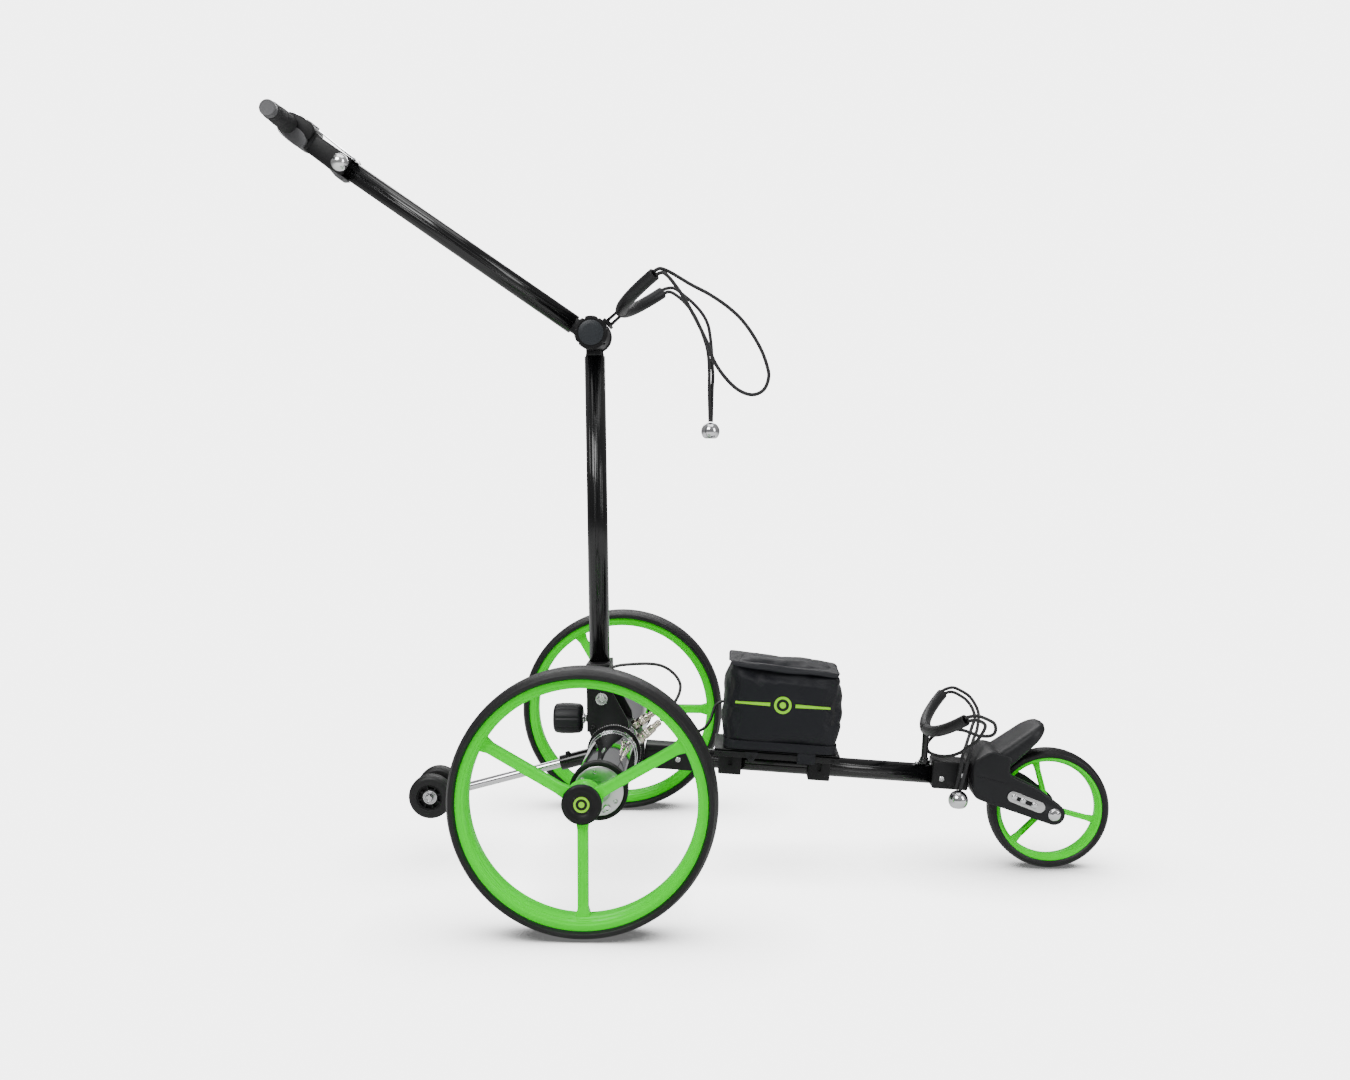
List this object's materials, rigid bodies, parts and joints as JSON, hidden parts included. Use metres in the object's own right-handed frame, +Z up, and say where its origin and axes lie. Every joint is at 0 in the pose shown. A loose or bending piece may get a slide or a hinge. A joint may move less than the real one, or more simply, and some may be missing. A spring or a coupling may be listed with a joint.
{
  "type": "electric golf trolley",
  "caption": "Folding electric golf trolley with a raised push handle, tube motors, a battery bag, padded bag cradles with elastic straps and small anti-tip wheels.",
  "frame": {"origin": "middle of the trolley's footprint, on the floor", "axes": "+X the way it drives, from the rear axle to the small front wheel; +Y to its left; +Z up"},
  "size_m": [1.0691, 0.6096, 0.9723],
  "materials": {
    "tyre": "matte black moulded rubber",
    "green": "glossy lime-green moulding",
    "cap": "satin black moulding",
    "black_tube": "satin black anodised tube",
    "black_cast": "satin black powder coat",
    "black_plastic": "matte black moulding",
    "grey_plastic": "matte dark grey moulding",
    "grip": "soft matte black grip",
    "sleeve": "matte dark grey sleeve",
    "chrome": "mirror chrome",
    "steel": "bright turned steel",
    "alloy": "silver machined face",
    "motor": "plain motor can",
    "cord": "matte black elastic cord",
    "cable": "satin black cable jacket",
    "nylon": "woven navy-black nylon",
    "cells": "plain black case"
  },
  "bodies": {
    "chassis": {"main_tube": "black_tube", "tube_receiver": "black_cast", "axle_housing": "black_cast", "pivot_bolt": "steel", "motor_tube_right": "chrome", "motor_tube_left": "chrome", "drive_motor_right": "motor", "drive_motor_left": "motor", "gearbox_flange_right": "alloy", "gearbox_flange_left": "alloy", "antitip_sleeve": "black_tube", "front_socket": "black_cast", "lower_bag_cradle": "black_tube", "lower_sleeve_right": "sleeve", "lower_sleeve_left": "sleeve", "battery_tray": "black_cast", "tray_clamp_rear": "black_plastic", "tray_clamp_front": "black_plastic", "battery_case": "cells", "battery_bag": "nylon", "connector_lower": "steel", "connector_upper": "steel", "front_yoke": "grey_plastic", "front_axle": "chrome", "control_cable": "cable", "battery_lead": "cable", "lower_catch_strap": "cord", "lower_ball_strap_front": "cord", "lower_ball_strap_back": "cord", "lower_strap_ball": "chrome"},
    "pole": {"pole_tube": "black_tube", "pole_foot": "black_cast", "pole_clevis": "black_cast", "upper_bag_cradle": "black_tube", "upper_sleeve_right": "sleeve", "upper_sleeve_left": "sleeve", "upper_catch_strap": "cord", "upper_ball_strap_front": "cord", "upper_ball_strap_back": "cord", "upper_strap_ball": "chrome"},
    "handle": {"handle_tube": "black_tube", "handle_knuckle": "black_cast", "handle_head": "black_plastic", "grip_right": "grip", "grip_left": "grip", "control_housing": "black_plastic"},
    "clamp_knob": {"joint_knob": "grey_plastic"},
    "lock_knob": {"base_knob": "cap"},
    "speed_dial": {"speed_knob": "chrome"},
    "rear_wheel_right": {"rear_tyre_right": "tyre", "rear_rim_right": "green", "hub_cap_right": "cap"},
    "rear_wheel_left": {"rear_tyre_left": "tyre", "rear_rim_left": "green", "hub_cap_left": "cap"},
    "front_wheel": {"front_tyre": "tyre", "front_rim": "green"},
    "antitip_arm": {"antitip_rod": "steel"},
    "antitip_roller_right": {"antitip_wheel_right": "tyre"},
    "antitip_roller_left": {"antitip_wheel_left": "tyre"}
  },
  "joints": [
    {"name": "rear_wheel_right_spin", "type": "hinge", "parent": "chassis", "child": "rear_wheel_right", "pos_m": [-0.1155, -0.2788, 0.15], "axis": [0, 1, 0], "continuous": true},
    {"name": "rear_wheel_left_spin", "type": "hinge", "parent": "chassis", "child": "rear_wheel_left", "pos_m": [-0.1155, 0.2788, 0.15], "axis": [0, 1, 0], "continuous": true},
    {"name": "front_wheel_spin", "type": "hinge", "parent": "chassis", "child": "front_wheel", "pos_m": [0.4571, 0, 0.0774], "axis": [0, 1, 0], "continuous": true},
    {"name": "antitip_slide", "type": "slide", "parent": "chassis", "child": "antitip_arm", "axis": [-0.9659, 0, -0.2588], "range_m": [0, 0.03]},
    {"name": "antitip_wheel_right_spin", "type": "hinge", "parent": "antitip_arm", "child": "antitip_roller_right", "pos_m": [-0.34119, -0.0247, 0.08984], "axis": [0, 1, 0], "continuous": true},
    {"name": "antitip_wheel_left_spin", "type": "hinge", "parent": "antitip_arm", "child": "antitip_roller_left", "pos_m": [-0.34119, 0.0247, 0.08984], "axis": [0, 1, 0], "continuous": true},
    {"name": "pole_fold", "type": "hinge", "parent": "chassis", "child": "pole", "pos_m": [-0.1175, 0, 0.2205], "axis": [0, 1, 0], "range_deg": [0, 60]},
    {"name": "handle_fold", "type": "hinge", "parent": "pole", "child": "handle", "pos_m": [-0.12858, 0, 0.685], "axis": [0, -1, 0], "range_deg": [-60, 65]},
    {"name": "clamp_knob_turn", "type": "hinge", "parent": "pole", "child": "clamp_knob", "pos_m": [-0.12858, -0.0385, 0.685], "axis": [0, 1, 0], "range_deg": [0, 360]},
    {"name": "lock_knob_turn", "type": "hinge", "parent": "chassis", "child": "lock_knob", "pos_m": [-0.1655, 0, 0.1886], "axis": [1, 0, 0], "range_deg": [0, 360]},
    {"name": "speed_dial_turn", "type": "hinge", "parent": "handle", "child": "speed_dial", "pos_m": [-0.4483, -0.0282, 0.90131], "axis": [0, 1, 0], "range_deg": [0, 270]}
  ]
}
